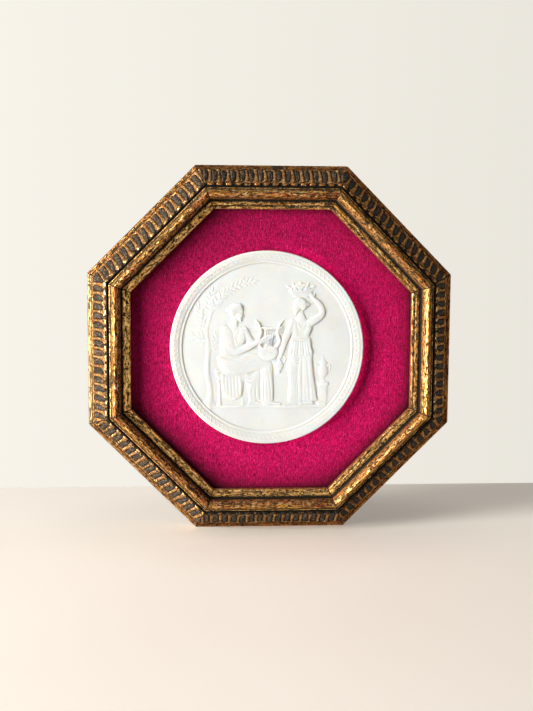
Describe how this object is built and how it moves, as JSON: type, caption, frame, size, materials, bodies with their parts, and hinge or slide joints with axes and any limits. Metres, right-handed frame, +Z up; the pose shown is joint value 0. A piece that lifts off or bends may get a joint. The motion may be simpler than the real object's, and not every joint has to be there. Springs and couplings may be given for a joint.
{
  "type": "framed relief plaque",
  "caption": "Round bisque porcelain relief plaque mounted on crimson velvet in an octagonal gilt leaf-moulded frame that hangs on a wall.",
  "frame": {"origin": "middle notch of the sawtooth hanger on the back of the top rail", "axes": "+Z up, -Y out of the front of the relief, +Y towards the wall, +X to the viewer's right"},
  "size_m": [0.266, 0.0313, 0.266],
  "materials": {
    "gilt_frame": "carved wood and composition with aged gold leaf, red bole at the edges and black wash in the hollows",
    "bisque": "matt unglazed white porcelain",
    "velvet": "crimson ribbed velvet",
    "board": "plain brown hardboard",
    "hanger_steel": "zinc plated"
  },
  "bodies": {
    "root": {"frame_rail_top": "gilt_frame", "frame_rail_upper_right": "gilt_frame", "frame_rail_right": "gilt_frame", "frame_rail_lower_right": "gilt_frame", "frame_rail_bottom": "gilt_frame", "frame_rail_lower_left": "gilt_frame", "frame_rail_left": "gilt_frame", "frame_rail_upper_left": "gilt_frame", "backing_board": "board", "fabric_cover": "velvet", "plaque": "bisque", "hanger": "hanger_steel", "hanger_nail_left": "hanger_steel", "hanger_nail_right": "hanger_steel"}
  },
  "joints": []
}
